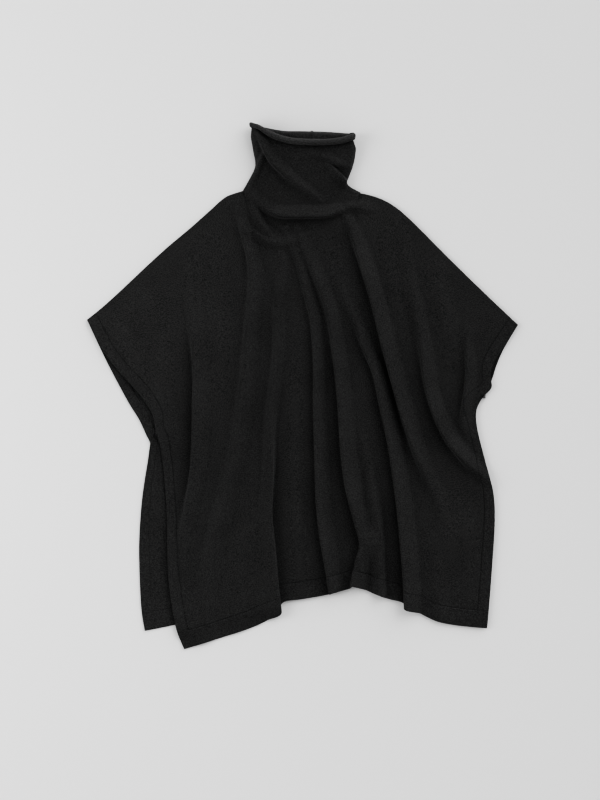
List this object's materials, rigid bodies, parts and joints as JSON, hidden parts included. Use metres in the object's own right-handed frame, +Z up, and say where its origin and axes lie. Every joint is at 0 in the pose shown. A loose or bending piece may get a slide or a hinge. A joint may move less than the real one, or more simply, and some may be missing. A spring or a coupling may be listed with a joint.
{
  "type": "knitted poncho sweater",
  "caption": "Dark felted knit poncho sweater with a rolled funnel collar, open side slits and a stitched hem, laid flat with its front gathered in long folds.",
  "frame": {"origin": "middle of the garment's footprint, on the surface that it lies on", "axes": "+X to the right in the picture, +Y from the hem towards the collar, +Z up from the surface, out of the garment's front"},
  "size_m": [0.776, 0.9463, 0.0326],
  "materials": {
    "knit": "felted fine wool knit, charcoal black, dull with a short nap"
  },
  "bodies": {
    "root": {"front_panel": "knit", "back_panel": "knit", "collar": "knit", "front_hem_band": "knit", "back_hem_band": "knit", "front_armhole_band_left": "knit", "front_armhole_band_right": "knit", "back_armhole_band_left": "knit", "back_armhole_band_right": "knit", "front_slit_band_left": "knit", "front_slit_band_right": "knit", "back_slit_band_left": "knit", "back_slit_band_right": "knit"}
  },
  "joints": []
}
